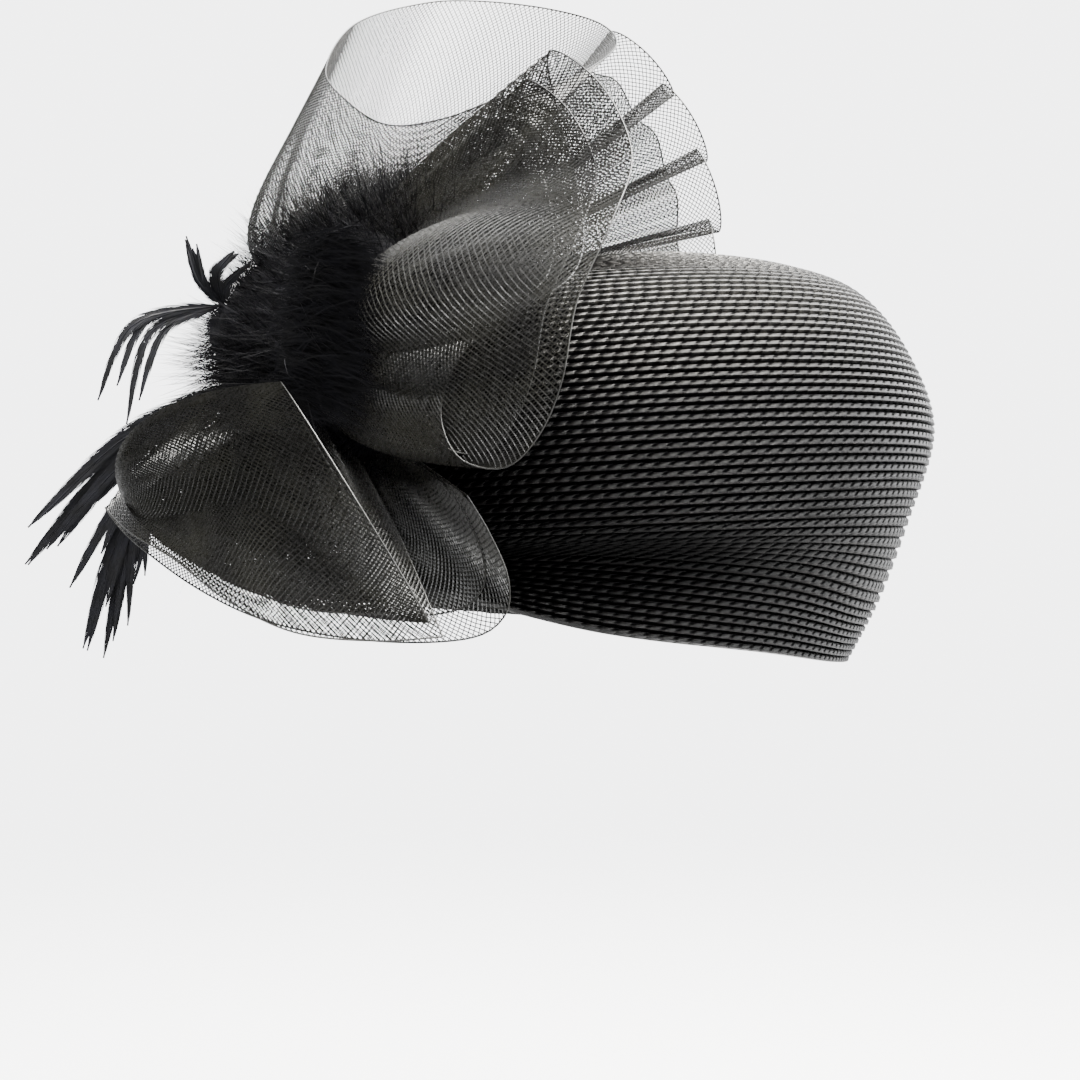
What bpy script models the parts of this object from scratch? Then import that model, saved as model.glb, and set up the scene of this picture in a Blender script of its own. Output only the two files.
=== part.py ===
# Cloche hat of narrow black straw braid, dressed on one side with gathered loops
# of stiff open net, a feather pad and two feather sprays.
# Metres, +Z up, +X to the right of the front view, +Y to the back of the hat.
# The origin is inside the tip of the crown, where the hat sits.
import math

import bmesh
import bpy
import numpy as np

# Hat body
CROWN_WIDTH = 0.190
CROWN_LENGTH = 0.204
HAT_DEPTH = 0.129
OPENING_WIDTH = 0.156
OPENING_LENGTH = 0.196
CROWN_OFFSET = 0.0096
STRAW_WALL = 0.002
SIDE_TILT = math.radians(2.7)
BACK_TILT = math.radians(0.5)

# Feather pad
PAD_THICKNESS = 0.044
PAD_EDGE = 0.003
PAD_START = math.radians(130)
PAD_END = math.radians(222)
PAD_TOP_RING = 2.0
PAD_BOTTOM_RING = 5.1

# Net loops
NET_WALL = 0.001
TRIM_STANDOFF = 0.005
TRIM_FORWARD = 0.18
TRIM_DOWN = 0.18
BACK_LOOP_REACH = 0.100
FRONT_LOOP_REACH = 0.100
LOWER_LOOP_REACH = 0.100
BACK_LOOP_SKEW = 0.5
FRONT_LOOP_SKEW = 0.9
LOWER_LOOP_SKEW = 0.8
FAN_REACH = 0.122
FAN_PLEATS = 4
FAN_LEAN = 0.23
FAN_FOLD = 0.08
FAN_SHORTENING = 0.14
FAN_TOP_ANGLE = math.radians(53)
FAN_BOTTOM_ANGLE = math.radians(4)
GATHER_SHARE = 0.10
GATHER_RADIUS = 0.005

# Feather sprays
UPPER_SPRAY_REACH = 0.050
LOWER_SPRAY_REACH = 0.090
LOCK_WIDTH = 0.0046
LOCK_ROOT = 0.22
LOCK_TIP = 0.06
LOCK_SKEW = 0.8
LOCK_FLATNESS = 0.5
SPRAY_HEAD = 0.007

# Gap that touching pieces keep
SEAT_GAP = 0.0003

# Faces round and along each form
BODY_AROUND = 46
BODY_ALONG = 18
PAD_AROUND = 15
PAD_ALONG = 9
BACK_LOOP_AROUND = 44
FRONT_LOOP_AROUND = 52
LOWER_LOOP_AROUND = 48
LOOP_ALONG = 6
PLEAT_AROUND = 8
FAN_ALONG = 5
LOCK_AROUND = 6
LOCK_ALONG = 8
HEAD_AROUND = 12
HEAD_ALONG = 8
SHARP_ANGLE = math.radians(50)

# Finishes: colour and roughness
BRAID_BLACK = (0.012, 0.012, 0.014, 1.0)
BRAID_ROUGHNESS = 0.32
NET_BLACK = (0.020, 0.020, 0.018, 1.0)
NET_ROUGHNESS = 0.35
FEATHER_BLACK = (0.004, 0.004, 0.005, 1.0)
FEATHER_ROUGHNESS = 0.85

# Crown sections from the tip down: share of the half size, share of the hat depth.
CROWN_SECTIONS = np.array([
    # reach, down
    (0.000, 0.000),
    (0.330, 0.035),
    (0.580, 0.080),
    (0.770, 0.148),
    (0.917, 0.290),
    (1.000, 0.480),
])

# Lower sections, a row for each 30 degrees from +X through the front.
# The fold is a share of the crown, the crease and rim are shares of the opening.
LOWER_SECTIONS = np.array([
    # fold reach, fold down, crease reach, crease down, rim reach, rim down
    (0.910, 0.667, 1.128, 0.853, 1.000, 1.000),
    (0.930, 0.667, 1.087, 0.837, 0.977, 0.992),
    (0.960, 0.674, 1.020, 0.783, 0.967, 0.953),
    (0.985, 0.686, 0.930, 0.752, 0.990, 0.900),
    (0.985, 0.698, 0.957, 0.744, 1.065, 0.810),
    (0.975, 0.705, 1.025, 0.736, 1.330, 0.760),
    (0.960, 0.705, 1.025, 0.736, 1.540, 0.790),
    (0.950, 0.698, 1.025, 0.744, 1.367, 0.845),
    (0.950, 0.690, 0.980, 0.760, 1.130, 0.891),
    (0.950, 0.682, 0.970, 0.783, 1.010, 0.930),
    (0.940, 0.674, 1.030, 0.822, 0.990, 0.969),
    (0.920, 0.667, 1.100, 0.845, 1.000, 0.992),
])

# Free edge of each loop from the middle of the trim, in shares of the loop's reach.
BACK_LOOP = np.array([
    # right, back, up, belly
    (0.04, 0.30, 0.82, 0.17),
    (0.13, 0.13, 0.68, 0.11),
    (0.26, 0.02, 0.59, 0.06),
    (0.43, -0.03, 0.60, 0.02),
    (0.60, 0.00, 0.67, 0.02),
    (0.78, 0.12, 0.74, 0.02),
    (0.95, 0.36, 0.90, 0.02),
    (0.92, 0.61, 1.04, 0.02),
    (0.75, 0.76, 1.13, 0.02),
    (0.52, 0.81, 1.17, 0.04),
    (0.32, 0.76, 1.15, 0.06),
    (0.11, 0.56, 1.03, 0.12),
])
FRONT_LOOP = np.array([
    # right, back, up, belly
    (0.74, -0.28, 0.74, 0.08),
    (0.88, -0.45, 0.61, 0.12),
    (0.96, -0.65, 0.38, 0.12),
    (0.90, -0.80, 0.17, 0.12),
    (0.81, -0.87, -0.04, 0.12),
    (0.77, -0.90, -0.25, 0.12),
    (0.71, -0.87, -0.39, 0.12),
    (0.62, -0.81, -0.47, 0.11),
    (0.50, -0.76, -0.44, 0.10),
    (0.45, -0.69, -0.31, 0.06),
    (0.51, -0.69, -0.16, 0.02),
    (0.65, -0.71, -0.06, 0.01),
    (0.81, -0.63, 0.07, 0.01),
    (0.83, -0.35, 0.29, 0.01),
    (0.77, -0.22, 0.56, 0.02),
])
LOWER_LOOP = np.array([
    # right, back, up, belly
    (0.46, -0.80, -0.91, 0.04),
    (0.29, -0.82, -0.92, 0.08),
    (0.07, -0.77, -0.90, 0.11),
    (-0.13, -0.62, -0.82, 0.12),
    (-0.31, -0.42, -0.71, 0.12),
    (-0.49, -0.17, -0.63, 0.12),
    (-0.59, 0.00, -0.56, 0.12),
    (-0.50, -0.03, -0.66, 0.04),
    (-0.26, -0.28, -0.80, 0.01),
    (-0.02, -0.46, -0.89, 0.01),
    (0.27, -0.62, -0.93, 0.01),
    (0.52, -0.70, -0.92, 0.01),
    (0.62, -0.72, -0.86, 0.01),
    (0.63, -0.72, -0.76, 0.01),
    (0.58, -0.70, -0.64, 0.01),
    (0.52, -0.69, -0.54, 0.01),
])

# Where each piece of trim is gathered: direction, ring of the crown, height over the crown.
SEATS = {
    "back_loop": (168, 3.6, 0.022),
    "back_fan": (204, 3.0, 0.014),
    "front_loop": (152, 4.1, 0.025),
    "lower_loop": (157, 4.6, 0.020),
    "spray_upper": (164, 4.0, 0.046),
    "spray_lower": (178, 4.5, 0.036),
}

# Feather locks, from the head of their spray: middle, and tip, in shares of its reach.
UPPER_LOCKS = np.array([
    # middle right, back, up, tip right, back, up, width
    (-0.10, -0.10, 0.22, -0.22, -0.14, 0.44, 0.8),
    (0.00, -0.12, 0.24, 0.08, -0.12, 0.40, 1.0),
    (-0.05, -0.10, 0.17, 0.10, -0.18, 0.30, 1.0),
    (-0.34, -0.16, 0.14, -0.66, -0.26, -0.50, 0.7),
    (-0.26, -0.14, 0.04, -0.50, -0.22, -0.60, 0.7),
])
LOWER_LOCKS = np.array([
    # middle right, back, up, tip right, back, up, width
    (-0.33, 0.00, -0.16, -0.81, 0.00, -0.48, 1.2),
    (-0.35, 0.03, -0.20, -0.79, 0.04, -0.60, 1.4),
    (-0.33, -0.02, -0.22, -0.64, 0.00, -0.55, 1.2),
    (-0.41, 0.04, -0.40, -0.59, 0.04, -0.93, 1.4),
    (-0.39, 0.07, -0.42, -0.53, 0.08, -0.96, 1.4),
    (-0.43, 0.01, -0.36, -0.63, 0.02, -0.69, 1.0),
    (-0.36, 0.05, -0.40, -0.47, 0.05, -0.84, 1.0),
])


def smooth(rows, place, closed=False):
    """Smooth curve through the rows; place counts rows from 0."""
    rows = np.asarray(rows, dtype=float)
    place = np.asarray(place, dtype=float)
    count = len(rows)
    step = np.floor(place).astype(int)
    if not closed:
        step = np.clip(step, 0, count - 2)
    part = place - step
    near = []
    for offset in (-1, 0, 1, 2):
        index = step + offset
        index = index % count if closed else np.clip(index, 0, count - 1)
        near.append(rows[index])
    before, start, end, after = near
    part = part.reshape(part.shape + (1,) * (start.ndim - part.ndim))
    bend = 2 * before - 5 * start + 4 * end - after
    twist = 3 * start - before - 3 * end + after
    return 0.5 * (2 * start + (end - before) * part + bend * part**2 + twist * part**3)


def hat_sections(direction):
    """Points of the nine sections at each direction, shaped section, direction, xyz."""
    lower = smooth(LOWER_SECTIONS, direction / (math.tau / len(LOWER_SECTIONS)), closed=True)
    cos = np.cos(direction)
    sin = -np.sin(direction)
    sections = []
    for reach, down in CROWN_SECTIONS:
        sections.append((True, reach + 0 * cos, down + 0 * cos))
    sections.append((True, lower[:, 0], lower[:, 1]))
    sections.append((False, lower[:, 2], lower[:, 3]))
    sections.append((False, lower[:, 4], lower[:, 5]))
    points = []
    for on_crown, reach, down in sections:
        z = STRAW_WALL - down * HAT_DEPTH
        if on_crown:
            x = CROWN_OFFSET + reach * CROWN_WIDTH / 2 * cos
            y = reach * CROWN_LENGTH / 2 * sin
        else:
            half_width = OPENING_WIDTH / 2
            half_length = OPENING_LENGTH / 2
            radius = 1 / np.sqrt((cos / half_width) ** 2 + (sin / half_length) ** 2)
            x = reach * radius * cos
            y = reach * radius * sin
        points.append(np.stack([x, y, z], axis=-1))
    points = np.array(points)
    crown = points[:len(CROWN_SECTIONS)]
    crown[:, :, 2] += math.tan(SIDE_TILT) * (crown[:, :, 0] - CROWN_OFFSET)
    crown[:, :, 2] -= math.tan(BACK_TILT) * crown[:, :, 1]
    return points


def hat_surface(direction, ring):
    """Outer face of the hat: a row for each ring, a column for each direction."""
    return smooth(hat_sections(np.asarray(direction, dtype=float)), ring)


def hat_normal(direction, ring):
    """Outward normal of the hat's outer face, from small steps along both ways."""
    step = 1e-3
    direction = np.asarray(direction, dtype=float)
    ring = np.asarray(ring, dtype=float)
    around = hat_surface(direction + step, ring) - hat_surface(direction - step, ring)
    down = hat_surface(direction, ring + step) - hat_surface(direction, ring - step)
    normal = np.cross(down, around)
    return -normal / np.linalg.norm(normal, axis=-1, keepdims=True)


def trim_centre():
    """Middle of the trim, beside the crown."""
    return np.array([
        CROWN_OFFSET - CROWN_WIDTH / 2 - TRIM_STANDOFF,
        -TRIM_FORWARD * CROWN_LENGTH,
        -TRIM_DOWN * HAT_DEPTH,
    ])


def seat(name):
    """Point where a piece of trim is gathered."""
    direction, ring, height = SEATS[name]
    direction = np.array([math.radians(direction)])
    ring = np.array([ring])
    point = hat_surface(direction, ring) + height * hat_normal(direction, ring)
    return point[0, 0]


def grid_faces(rows, columns, closed):
    """Triangles of a grid, split the same way everywhere; closed joins the last column to the first."""
    faces = []
    for row in range(rows - 1):
        for column in range(columns if closed else columns - 1):
            following = (column + 1) % columns
            near = row * columns + column
            below = (row + 1) * columns + column
            across = (row + 1) * columns + following
            beside = row * columns + following
            faces += [(near, below, across), (near, across, beside)]
    return faces


def make_object(name, vertices, faces, material, collection):
    """Mesh object with outward faces, shaded smooth."""
    mesh = bpy.data.meshes.new(name)
    mesh.from_pydata([tuple(vertex) for vertex in vertices], [], faces)
    work = bmesh.new()
    work.from_mesh(mesh)
    bmesh.ops.recalc_face_normals(work, faces=work.faces)
    work.to_mesh(mesh)
    work.free()
    mesh.shade_smooth()
    mesh.set_sharp_from_angle(angle=SHARP_ANGLE)
    if material is not None:
        mesh.materials.append(material)
    made = bpy.data.objects.new(name, mesh)
    collection.objects.link(made)
    return made


def thicken(made, wall, offset):
    """Give an open surface its wall."""
    shell = made.modifiers.new("wall", "SOLIDIFY")
    shell.thickness = wall
    shell.offset = offset


def cut(made, cutter):
    """Cut a piece by another one's cutter."""
    trim = made.modifiers.new("seat", "BOOLEAN")
    trim.operation = "DIFFERENCE"
    trim.solver = "EXACT"
    trim.use_self = True
    trim.object = cutter


def make_material(name, colour, roughness):
    material = bpy.data.materials.new(name)
    material.use_nodes = True
    shader = material.node_tree.nodes["Principled BSDF"]
    shader.inputs["Base Color"].default_value = colour
    shader.inputs["Roughness"].default_value = roughness
    shader.inputs["Metallic"].default_value = 0.0
    return material


def hat_mesh(grow):
    """Vertices and faces of the hat's outer face, grown along its normals: the tip, then the rings."""
    direction = np.arange(BODY_AROUND) * math.tau / BODY_AROUND
    rings = np.linspace(0, len(CROWN_SECTIONS) + 2, BODY_ALONG + 1)
    points = hat_surface(direction, rings)
    tip = points[0, 0] + np.array([0, 0, grow])
    around = points[1:] + grow * hat_normal(direction, rings[1:])
    vertices = np.concatenate([[tip], around.reshape(-1, 3)])
    faces = [(0, 1 + column, 1 + (column + 1) % BODY_AROUND) for column in range(BODY_AROUND)]
    for face in grid_faces(BODY_ALONG, BODY_AROUND, closed=True):
        faces.append(tuple(index + 1 for index in face))
    return vertices, faces


def make_hat_body(material, collection):
    """Straw shell, open below, from the tip to the rim."""
    vertices, faces = hat_mesh(0)
    body = make_object("hat_body", vertices, faces, material, collection)
    work = bmesh.new()
    work.from_mesh(body.data)
    work.faces.ensure_lookup_table()
    if work.faces[0].normal.z < 0:
        bmesh.ops.reverse_faces(work, faces=work.faces)
    work.to_mesh(body.data)
    work.free()
    thicken(body, STRAW_WALL, -1.0)
    return body


def make_hat_cutter(collection):
    """The hat's outer form closed at its rim and grown by the seat gap."""
    vertices, faces = hat_mesh(SEAT_GAP)
    last = len(vertices) - BODY_AROUND
    faces.append(tuple(last + column for column in range(BODY_AROUND)))
    cutter = make_object("hat_cutter", vertices, faces, None, collection)
    cutter.hide_render = True
    cutter.display_type = "WIRE"
    return cutter


def make_pad(name, material, collection, grow):
    """Feather mound that follows the crown, thick in the middle and thin at its edge."""
    columns = PAD_AROUND + 1
    rows = PAD_ALONG + 1
    direction = np.linspace(PAD_START, PAD_END, columns)
    ring = np.linspace(PAD_TOP_RING, PAD_BOTTOM_RING, rows)
    base = hat_surface(direction, ring)
    normal = hat_normal(direction, ring)
    across = np.sin(np.linspace(0, math.pi, columns))[None, :, None]
    along = np.sin(np.linspace(0, math.pi, rows))[:, None, None]
    height = PAD_EDGE + (PAD_THICKNESS - PAD_EDGE) * np.sqrt(np.clip(across * along, 0, 1))
    under = base - normal * PAD_EDGE
    over = base + normal * (height + SEAT_GAP + grow)
    vertices = np.concatenate([under.reshape(-1, 3), over.reshape(-1, 3)])
    faces = grid_faces(rows, columns, closed=False)
    count = rows * columns
    faces += [tuple(index + count for index in reversed(face)) for face in faces]
    border = list(range(columns))
    border += [row * columns + columns - 1 for row in range(1, rows)]
    border += [(rows - 1) * columns + column for column in range(columns - 2, -1, -1)]
    border += [row * columns for row in range(rows - 2, 0, -1)]
    for index, start in enumerate(border):
        end = border[(index + 1) % len(border)]
        faces.append((start, end, end + count, start + count))
    return make_object(name, vertices, faces, material, collection)


def loop_points(centre, edge, belly, columns, rows, closed, skew):
    """Gathered net from its centre to its free edge, bellied away from its own axis.

    Along a line from the gather to the edge the share s runs from 0 to 1, and the point is
    centre + edge * (gather + (1 - gather) * s)
    + outward * (radius * (1 - s) + belly * sin(pi * s**skew)).
    """
    stations = len(edge)
    last = stations if closed else stations - 1
    place = np.linspace(0, last, columns, endpoint=not closed)
    free = smooth(edge, place, closed)
    swell = smooth(belly, place, closed)
    ray = free / np.linalg.norm(free, axis=1, keepdims=True)
    side = free - free.mean(axis=0)
    side = side - (side * ray).sum(axis=1, keepdims=True) * ray
    side = side / np.linalg.norm(side, axis=1, keepdims=True)
    share = np.linspace(0, 1, rows)[:, None, None]
    along = GATHER_SHARE + (1 - GATHER_SHARE) * share
    bow = np.sin(math.pi * share ** skew) * swell[None, :, None] + GATHER_RADIUS * (1 - share)
    return centre + free[None] * along + side[None] * bow


def make_loop(name, table, reach, closed, skew, columns, material, collection, cutter):
    """Loop of net: a bellied surface with a wall, cut clear of the feather pad."""
    rows = LOOP_ALONG + 1
    edge = trim_centre() + table[:, :3] * reach - seat(name)
    points = loop_points(seat(name), edge, table[:, 3] * reach, columns, rows, closed, skew)
    faces = grid_faces(rows, columns, closed)
    made = make_object(name, points.reshape(-1, 3), faces, material, collection)
    thicken(made, NET_WALL, 0.0)
    cut(made, cutter)
    return made


def fan_points(centre, columns, rows):
    """Pleated fan: rays from the gather that lean back and fold to and fro.

    With u along the fan and s out along a ray, the lean is FAN_LEAN * s and the fold is
    FAN_FOLD * s**2 * cos(2 * pi * pleats * u), both in shares of the reach.
    """
    along = np.linspace(0, 1, columns)[None, :]
    share = np.linspace(GATHER_SHARE, 1, rows)[:, None]
    angle = FAN_TOP_ANGLE + (FAN_BOTTOM_ANGLE - FAN_TOP_ANGLE) * along
    reach = FAN_REACH * (1 - FAN_SHORTENING * along ** 2) * share
    fold = FAN_FOLD * share ** 2 * np.cos(math.tau * FAN_PLEATS * along)
    back = FAN_REACH * (FAN_LEAN * share + fold)
    return centre + np.stack([reach * np.cos(angle), back, reach * np.sin(angle)], axis=-1)


def make_fan(material, collection, cutter):
    """Pleated fan of net behind the crown."""
    columns = PLEAT_AROUND * FAN_PLEATS + 1
    rows = FAN_ALONG + 1
    points = fan_points(seat("back_fan"), columns, rows)
    faces = grid_faces(rows, columns, closed=False)
    made = make_object("back_fan", points.reshape(-1, 3), faces, material, collection)
    thicken(made, NET_WALL, 0.0)
    cut(made, cutter)
    return made


def make_lock(name, head, middle, tip, width, collection):
    """One lock of feather: a flat six-sided section carried along a bent spine to a fine tip."""
    stations = LOCK_ALONG + 1
    sides = LOCK_AROUND
    spine = smooth(np.array([head, middle, tip]), np.linspace(0, 2, stations))
    way = np.gradient(spine, axis=0)
    way = way / np.linalg.norm(way, axis=1, keepdims=True)
    flat = np.cross(way, np.array([0.0, 1.0, 0.0]))
    flat = flat / np.linalg.norm(flat, axis=1, keepdims=True)
    deep = np.cross(way, flat)
    share = np.linspace(0, 1, stations)
    size = width / 2 * (LOCK_ROOT + (1 - LOCK_ROOT) * np.sin(math.pi * share ** LOCK_SKEW))
    size[-1] = width * LOCK_TIP
    turn = (np.arange(sides) * math.tau / sides)[None, :, None]
    ring = flat[:, None] * np.cos(turn) + LOCK_FLATNESS * deep[:, None] * np.sin(turn)
    points = spine[:, None] + ring * size[:, None, None]
    faces = grid_faces(stations, sides, closed=True)
    faces.append(tuple(range(sides)))
    faces.append(tuple((stations - 1) * sides + side for side in reversed(range(sides))))
    return make_object(name, points.reshape(-1, 3), faces, None, collection)


def make_spray(name, locks, reach, material, collection, tools, cutter):
    """Locks of feather fused to one bound head that sits in the pad."""
    head = seat(name)
    bpy.ops.mesh.primitive_uv_sphere_add(
        segments=HEAD_AROUND,
        ring_count=HEAD_ALONG,
        radius=SPRAY_HEAD,
        location=tuple(head),
    )
    made = bpy.context.active_object
    made.name = name
    for owner in list(made.users_collection):
        owner.objects.unlink(made)
    collection.objects.link(made)
    made.data.materials.append(material)
    made.data.shade_smooth()
    for index, row in enumerate(locks):
        middle = head + row[:3] * reach
        tip = head + row[3:6] * reach
        lock = make_lock(f"{name}_lock_{index}", head, middle, tip, LOCK_WIDTH * row[6], tools)
        lock.hide_render = True
        lock.display_type = "WIRE"
        join = made.modifiers.new(f"lock_{index}", "BOOLEAN")
        join.operation = "UNION"
        join.solver = "EXACT"
        join.object = lock
    cut(made, cutter)
    return made


def build():
    for old in list(bpy.data.objects):
        bpy.data.objects.remove(old, do_unlink=True)
    hat = bpy.data.collections.new("cloche_hat")
    tools = bpy.data.collections.new("cutters")
    bpy.context.scene.collection.children.link(hat)
    bpy.context.scene.collection.children.link(tools)
    straw = make_material("straw_braid", BRAID_BLACK, BRAID_ROUGHNESS)
    net = make_material("net", NET_BLACK, NET_ROUGHNESS)
    feather = make_material("feather", FEATHER_BLACK, FEATHER_ROUGHNESS)

    make_hat_body(straw, hat)
    pad = make_pad("feather_pad", feather, hat, 0)
    cut(pad, make_hat_cutter(tools))
    cutter = make_pad("pad_cutter", None, tools, SEAT_GAP)
    cutter.hide_render = True
    cutter.display_type = "WIRE"
    loops = [
        # name, table, reach, closed, skew, columns
        ("back_loop", BACK_LOOP, BACK_LOOP_REACH, True, BACK_LOOP_SKEW, BACK_LOOP_AROUND),
        ("front_loop", FRONT_LOOP, FRONT_LOOP_REACH, True, FRONT_LOOP_SKEW, FRONT_LOOP_AROUND),
        ("lower_loop", LOWER_LOOP, LOWER_LOOP_REACH, False, LOWER_LOOP_SKEW, LOWER_LOOP_AROUND + 1),
    ]
    for name, table, reach, closed, skew, columns in loops:
        make_loop(name, table, reach, closed, skew, columns, net, hat, cutter)
    make_fan(net, hat, cutter)
    make_spray("spray_upper", UPPER_LOCKS, UPPER_SPRAY_REACH, feather, hat, tools, cutter)
    make_spray("spray_lower", LOWER_LOCKS, LOWER_SPRAY_REACH, feather, hat, tools, cutter)


build()
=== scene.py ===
# Looks of a vintage cloche hat: narrow black straw braid sewn in rows, dressed on
# one side with gathered loops of stiff open net, a black feather pad and two sprays.
import math

import bpy
import numpy as np
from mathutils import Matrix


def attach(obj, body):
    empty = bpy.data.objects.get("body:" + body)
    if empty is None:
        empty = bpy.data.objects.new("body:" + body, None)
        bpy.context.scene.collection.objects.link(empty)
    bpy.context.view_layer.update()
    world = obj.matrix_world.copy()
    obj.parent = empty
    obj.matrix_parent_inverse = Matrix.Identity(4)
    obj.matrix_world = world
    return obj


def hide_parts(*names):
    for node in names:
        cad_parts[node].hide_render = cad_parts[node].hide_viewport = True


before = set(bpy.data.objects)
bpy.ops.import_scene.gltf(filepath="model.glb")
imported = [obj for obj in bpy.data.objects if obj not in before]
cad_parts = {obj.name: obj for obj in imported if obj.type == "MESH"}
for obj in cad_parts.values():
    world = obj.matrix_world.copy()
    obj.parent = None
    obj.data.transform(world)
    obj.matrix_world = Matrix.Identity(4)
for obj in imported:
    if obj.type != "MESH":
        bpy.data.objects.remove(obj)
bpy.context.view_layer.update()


# View: the camera stands level in front of the hat, a little below its crown, and
# looks along +Y. Its height, distance and lens come from the photograph's framing.
eye = (-0.019, -0.650, -0.089)
lens_mm = 68.2
camera_data = bpy.data.cameras.new("camera")
camera_data.lens = lens_mm
camera_data.sensor_width = 36
camera_data.clip_start = 0.01
camera_data.clip_end = 100
camera = bpy.data.objects.new("camera", camera_data)
camera.location = eye
camera.rotation_euler = (math.radians(90), 0, 0)
bpy.context.scene.collection.objects.link(camera)
bpy.context.scene.camera = camera


# Stage: a pale matte floor that fades far out into a pale sky, lit by that sky and by
# broad soft panels. The light comes from above and the right, as in the photograph, and
# little of it from the front.
floor_height = -0.34
floor_radius = 12.0
fade_start = 0.1
fade_end = 1.3
floor_colour = (0.86, 0.86, 0.855, 1.0)
floor_bounce = (0.22, 0.22, 0.22, 1.0)
sky_colour = (0.985, 0.99, 1.0, 1.0)
sky_seen = 5.0
sky_above = 11.0
sky_low = 0.03
sky_lean = (0.50, 0.15, 0.85)


def soft_panel(name, place, target, size, watts, colour):
    """Square area light at place, facing target."""
    lamp = bpy.data.lights.new(name, "AREA")
    lamp.shape = "SQUARE"
    lamp.size = size
    lamp.energy = watts
    lamp.color = colour
    made = bpy.data.objects.new(name, lamp)
    made.location = place
    way = np.array(target) - np.array(place)
    way = way / np.linalg.norm(way)
    made.rotation_euler = (math.acos(-way[2]), 0, math.atan2(-way[0], way[1]))
    bpy.context.scene.collection.objects.link(made)
    return made


def range_map(tree, value, low, high, out_low=0.0, out_high=1.0):
    """Smooth map of a value from one range to another."""
    node = tree.nodes.new("ShaderNodeMapRange")
    node.interpolation_type = "SMOOTHSTEP"
    tree.links.new(value, node.inputs["Value"])
    node.inputs["From Min"].default_value = low
    node.inputs["From Max"].default_value = high
    node.inputs["To Min"].default_value = out_low
    node.inputs["To Max"].default_value = out_high
    return node.outputs["Result"]


def maths(tree, operation, first, second=None):
    """Math node on sockets or plain numbers; returns its result."""
    node = tree.nodes.new("ShaderNodeMath")
    node.operation = operation
    for place, value in enumerate((first, second)):
        if isinstance(value, bpy.types.NodeSocket):
            tree.links.new(value, node.inputs[place])
        elif value is not None:
            node.inputs[place].default_value = value
    return node.outputs[0]


def mix_colour(tree, factor, first, second):
    """Blend of two colours, each a socket or four numbers."""
    node = tree.nodes.new("ShaderNodeMix")
    node.data_type = "RGBA"
    tree.links.new(factor, node.inputs["Factor"])
    for place, value in ((6, first), (7, second)):
        if isinstance(value, bpy.types.NodeSocket):
            tree.links.new(value, node.inputs[place])
        else:
            node.inputs[place].default_value = value
    return node.outputs[2]


def make_floor():
    """Flat disc of floor round the hat's middle, which fades to the sky's own white."""
    turn = np.linspace(0, math.tau, 96, endpoint=False)
    rim = np.stack([floor_radius * np.cos(turn), floor_radius * np.sin(turn)], axis=1)
    corners = np.concatenate([rim, np.full((len(rim), 1), floor_height)], axis=1)
    mesh = bpy.data.meshes.new("floor")
    mesh.from_pydata(corners.tolist(), [], [list(range(len(corners)))])
    made = bpy.data.objects.new("floor", mesh)
    material = bpy.data.materials.new("pale_floor")
    material.use_nodes = True
    tree = material.node_tree
    shader = tree.nodes["Principled BSDF"]
    shader.inputs["Roughness"].default_value = 0.9
    path = tree.nodes.new("ShaderNodeLightPath")
    seen = path.outputs["Is Camera Ray"]
    tree.links.new(mix_colour(tree, seen, floor_bounce, floor_colour), shader.inputs["Base Color"])
    glow = tree.nodes.new("ShaderNodeEmission")
    glow.inputs["Color"].default_value = sky_colour
    glow.inputs["Strength"].default_value = sky_seen
    where = tree.nodes.new("ShaderNodeTexCoord")
    far = tree.nodes.new("ShaderNodeVectorMath")
    far.operation = "LENGTH"
    tree.links.new(where.outputs["Object"], far.inputs[0])
    fade = range_map(tree, far.outputs["Value"], fade_start, fade_end)
    fade = maths(tree, "MULTIPLY", fade, seen)
    blend = tree.nodes.new("ShaderNodeMixShader")
    tree.links.new(fade, blend.inputs[0])
    tree.links.new(shader.outputs[0], blend.inputs[1])
    tree.links.new(glow.outputs[0], blend.inputs[2])
    tree.links.new(blend.outputs[0], tree.nodes["Material Output"].inputs["Surface"])
    mesh.materials.append(material)
    bpy.context.scene.collection.objects.link(made)


def make_sky():
    """Pale sky: even where it is seen, and bright only high up where it lights the hat."""
    world = bpy.data.worlds.new("sky")
    world.use_nodes = True
    tree = world.node_tree
    light = tree.nodes["Background"]
    light.inputs["Color"].default_value = sky_colour
    way = tree.nodes.new("ShaderNodeTexCoord")
    lean = tree.nodes.new("ShaderNodeVectorMath")
    lean.operation = "DOT_PRODUCT"
    lean.inputs[1].default_value = sky_lean
    tree.links.new(way.outputs["Generated"], lean.inputs[0])
    shade = range_map(tree, lean.outputs["Value"], 0.20, 0.97, sky_low, sky_above)
    path = tree.nodes.new("ShaderNodeLightPath")
    choose = tree.nodes.new("ShaderNodeMix")
    choose.data_type = "FLOAT"
    choose.inputs["B"].default_value = sky_seen
    tree.links.new(path.outputs["Is Camera Ray"], choose.inputs["Factor"])
    tree.links.new(shade, choose.inputs["A"])
    tree.links.new(choose.outputs["Result"], light.inputs["Strength"])
    bpy.context.scene.world = world


make_floor()
make_sky()
soft_panel("top_panel", (0.25, -0.20, 0.95), (0.03, 0.0, -0.05), 0.7, 100, (1.0, 0.975, 0.93))
soft_panel("side_panel", (0.95, -0.15, 0.45), (0.05, 0.0, -0.05), 0.5, 14, (1.0, 0.985, 0.96))
soft_panel("front_panel", (-0.55, -0.95, 0.60), (-0.06, 0.0, -0.03), 0.25, 3.5, (1.0, 0.99, 0.98))


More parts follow.
